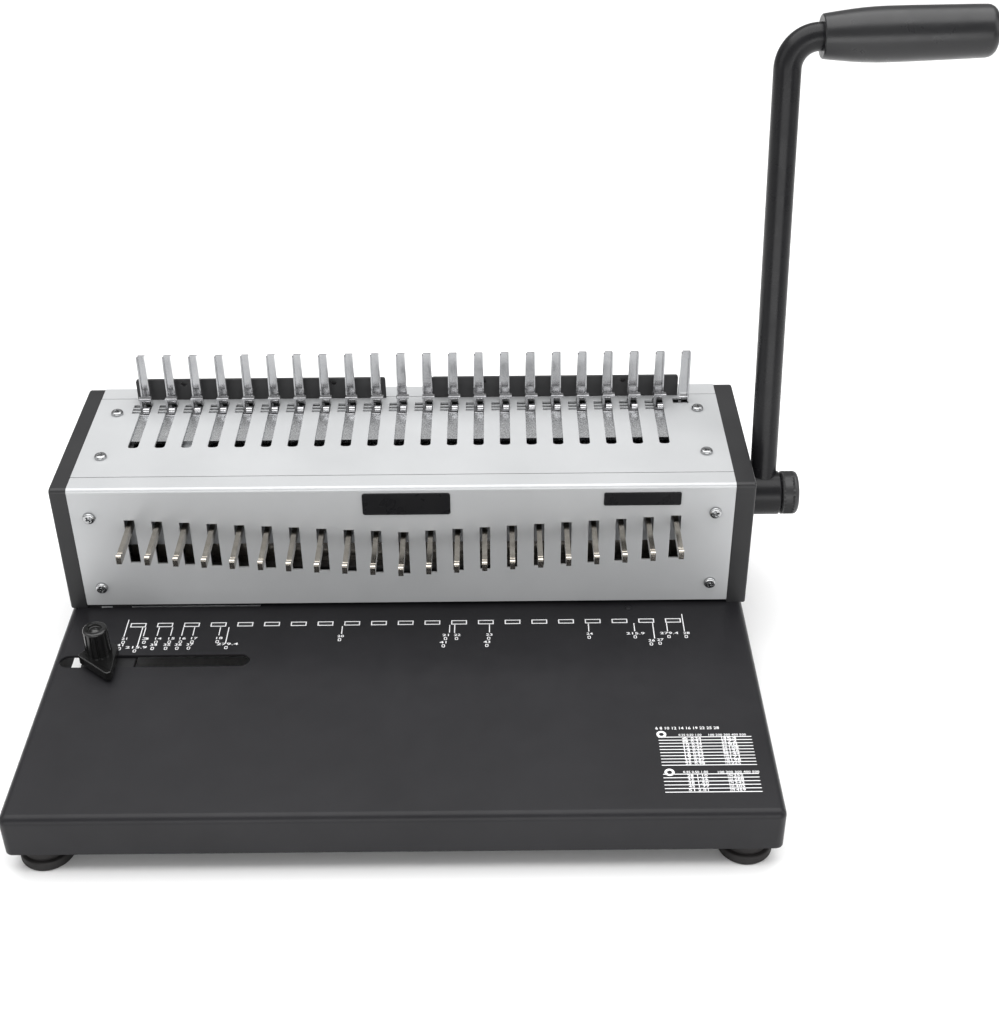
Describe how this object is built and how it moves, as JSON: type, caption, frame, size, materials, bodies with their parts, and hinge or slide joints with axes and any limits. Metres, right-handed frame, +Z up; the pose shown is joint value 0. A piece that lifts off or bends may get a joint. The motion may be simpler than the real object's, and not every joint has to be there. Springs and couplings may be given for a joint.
{
  "type": "comb binding machine",
  "caption": "Desktop comb binding machine: lever-driven paper punch with selectable pins, and a row of tines and sliding hooks that opens a plastic comb.",
  "frame": {"origin": "on the surface that the feet stand on, under the middle of the bounding box", "axes": "+X to the operator's right (the handle's side), +Y to the back, +Z up"},
  "size_m": [0.4776, 0.2724, 0.3273],
  "materials": {
    "charcoal_paint": "fine-textured satin charcoal powder coat",
    "silver_paint": "satin silver paint on sheet steel",
    "bright_chrome": "polished chrome plate",
    "nickel_plate": "satin nickel plate",
    "ground_steel": "ground steel, oiled",
    "blacked_steel": "blackened steel",
    "black_enamel": "satin black enamel",
    "grip_plastic": "moulded plastic, fine matt texture",
    "knob_plastic": "glossy moulded plastic",
    "tray_plastic": "moulded plastic, matt",
    "foot_rubber": "moulded rubber",
    "bronze_bush": "sintered bronze"
  },
  "bodies": {
    "machine": {"base_shell": "charcoal_paint", "rubber_feet": "foot_rubber", "foot_screws": "ground_steel", "side_frame_left": "ground_steel", "side_frame_right": "ground_steel", "side_cover_left": "charcoal_paint", "side_cover_right": "charcoal_paint", "front_cover": "silver_paint", "top_panel": "silver_paint", "rear_cover": "silver_paint", "die_plate": "ground_steel", "paper_backstop": "ground_steel", "punch_guide": "blacked_steel", "fixed_tines": "bright_chrome", "tine_rail": "bright_chrome", "comb_rests": "black_enamel", "opener_rails": "blacked_steel", "shaft_bushes": "bronze_bush", "cover_screws": "bright_chrome", "frame_screws": "ground_steel", "tray_runners": "ground_steel"},
    "handle": {"drive_shaft": "ground_steel", "punch_pinions": "ground_steel", "opener_pinions": "ground_steel", "shaft_collar": "ground_steel", "handle_hub": "black_enamel", "handle_rod": "black_enamel", "handle_grip": "grip_plastic"},
    "clamp_knob": {"clamp_knob": "black_enamel"},
    "punch": {"punch_bar": "ground_steel", "punch_pins": "nickel_plate"},
    "opener": {"opener_plate": "bright_chrome", "opener_hooks": "bright_chrome", "opener_racks": "ground_steel"},
    "guide": {"guide_slider": "tray_plastic"},
    "guide_knob": {"guide_knob": "knob_plastic"},
    "chip_tray": {"chip_tray": "tray_plastic"},
    "pin_pull_01": {"pin_pull_01": "nickel_plate"},
    "pin_pull_02": {"pin_pull_02": "nickel_plate"},
    "pin_pull_03": {"pin_pull_03": "nickel_plate"},
    "pin_pull_04": {"pin_pull_04": "nickel_plate"},
    "pin_pull_05": {"pin_pull_05": "nickel_plate"},
    "pin_pull_06": {"pin_pull_06": "nickel_plate"},
    "pin_pull_07": {"pin_pull_07": "nickel_plate"},
    "pin_pull_08": {"pin_pull_08": "nickel_plate"},
    "pin_pull_09": {"pin_pull_09": "nickel_plate"},
    "pin_pull_10": {"pin_pull_10": "nickel_plate"},
    "pin_pull_11": {"pin_pull_11": "nickel_plate"},
    "pin_pull_12": {"pin_pull_12": "nickel_plate"},
    "pin_pull_13": {"pin_pull_13": "nickel_plate"},
    "pin_pull_14": {"pin_pull_14": "nickel_plate"},
    "pin_pull_15": {"pin_pull_15": "nickel_plate"},
    "pin_pull_16": {"pin_pull_16": "nickel_plate"},
    "pin_pull_17": {"pin_pull_17": "nickel_plate"},
    "pin_pull_18": {"pin_pull_18": "nickel_plate"},
    "pin_pull_19": {"pin_pull_19": "nickel_plate"},
    "pin_pull_20": {"pin_pull_20": "nickel_plate"},
    "pin_pull_21": {"pin_pull_21": "nickel_plate"}
  },
  "joints": [
    {"name": "handle_pull", "type": "hinge", "parent": "machine", "child": "handle", "pos_m": [0.1374, 0.05985, 0.081], "axis": [1, 0, 0], "range_deg": [0, 90]},
    {"name": "punch_travel", "type": "slide", "parent": "machine", "child": "punch", "axis": [0, 0, -1], "range_m": [0, 0.0141]},
    {"name": "opener_travel", "type": "slide", "parent": "machine", "child": "opener", "axis": [0, -1, 0], "range_m": [0, 0.0282]},
    {"name": "clamp_knob_turn", "type": "hinge", "parent": "handle", "child": "clamp_knob", "pos_m": [0.1374, 0.05985, 0.081], "axis": [1, 0, 0], "range_deg": [0, 360]},
    {"name": "guide_travel", "type": "slide", "parent": "machine", "child": "guide", "axis": [1, 0, 0], "range_m": [-0.012, 0.068]},
    {"name": "guide_knob_turn", "type": "hinge", "parent": "guide", "child": "guide_knob", "pos_m": [-0.21345, -0.02295, 0.0387], "axis": [0, 0, 1], "range_deg": [0, 180]},
    {"name": "tray_travel", "type": "slide", "parent": "machine", "child": "chip_tray", "axis": [0, 1, 0], "range_m": [0, 0.09]},
    {"name": "pin_pull_01_out", "type": "slide", "parent": "punch", "child": "pin_pull_01", "axis": [0, -1, 0], "range_m": [0, 0.01]},
    {"name": "pin_pull_02_out", "type": "slide", "parent": "punch", "child": "pin_pull_02", "axis": [0, -1, 0], "range_m": [0, 0.01]},
    {"name": "pin_pull_03_out", "type": "slide", "parent": "punch", "child": "pin_pull_03", "axis": [0, -1, 0], "range_m": [0, 0.01]},
    {"name": "pin_pull_04_out", "type": "slide", "parent": "punch", "child": "pin_pull_04", "axis": [0, -1, 0], "range_m": [0, 0.01]},
    {"name": "pin_pull_05_out", "type": "slide", "parent": "punch", "child": "pin_pull_05", "axis": [0, -1, 0], "range_m": [0, 0.01]},
    {"name": "pin_pull_06_out", "type": "slide", "parent": "punch", "child": "pin_pull_06", "axis": [0, -1, 0], "range_m": [0, 0.01]},
    {"name": "pin_pull_07_out", "type": "slide", "parent": "punch", "child": "pin_pull_07", "axis": [0, -1, 0], "range_m": [0, 0.01]},
    {"name": "pin_pull_08_out", "type": "slide", "parent": "punch", "child": "pin_pull_08", "axis": [0, -1, 0], "range_m": [0, 0.01]},
    {"name": "pin_pull_09_out", "type": "slide", "parent": "punch", "child": "pin_pull_09", "axis": [0, -1, 0], "range_m": [0, 0.01]},
    {"name": "pin_pull_10_out", "type": "slide", "parent": "punch", "child": "pin_pull_10", "axis": [0, -1, 0], "range_m": [0, 0.01]},
    {"name": "pin_pull_11_out", "type": "slide", "parent": "punch", "child": "pin_pull_11", "axis": [0, -1, 0], "range_m": [0, 0.01]},
    {"name": "pin_pull_12_out", "type": "slide", "parent": "punch", "child": "pin_pull_12", "axis": [0, -1, 0], "range_m": [0, 0.01]},
    {"name": "pin_pull_13_out", "type": "slide", "parent": "punch", "child": "pin_pull_13", "axis": [0, -1, 0], "range_m": [0, 0.01]},
    {"name": "pin_pull_14_out", "type": "slide", "parent": "punch", "child": "pin_pull_14", "axis": [0, -1, 0], "range_m": [0, 0.01]},
    {"name": "pin_pull_15_out", "type": "slide", "parent": "punch", "child": "pin_pull_15", "axis": [0, -1, 0], "range_m": [0, 0.01]},
    {"name": "pin_pull_16_out", "type": "slide", "parent": "punch", "child": "pin_pull_16", "axis": [0, -1, 0], "range_m": [0, 0.01]},
    {"name": "pin_pull_17_out", "type": "slide", "parent": "punch", "child": "pin_pull_17", "axis": [0, -1, 0], "range_m": [0, 0.01]},
    {"name": "pin_pull_18_out", "type": "slide", "parent": "punch", "child": "pin_pull_18", "axis": [0, -1, 0], "range_m": [0, 0.01]},
    {"name": "pin_pull_19_out", "type": "slide", "parent": "punch", "child": "pin_pull_19", "axis": [0, -1, 0], "range_m": [0, 0.01]},
    {"name": "pin_pull_20_out", "type": "slide", "parent": "punch", "child": "pin_pull_20", "axis": [0, -1, 0], "range_m": [0, 0.01]},
    {"name": "pin_pull_21_out", "type": "slide", "parent": "punch", "child": "pin_pull_21", "axis": [0, -1, 0], "range_m": [0, 0.01]}
  ],
  "couplings": [
    {"joint": "punch_travel", "follows": "handle_pull", "m_per_rad": 0.0089127},
    {"joint": "opener_travel", "follows": "handle_pull", "m_per_rad": 0.017825}
  ]
}
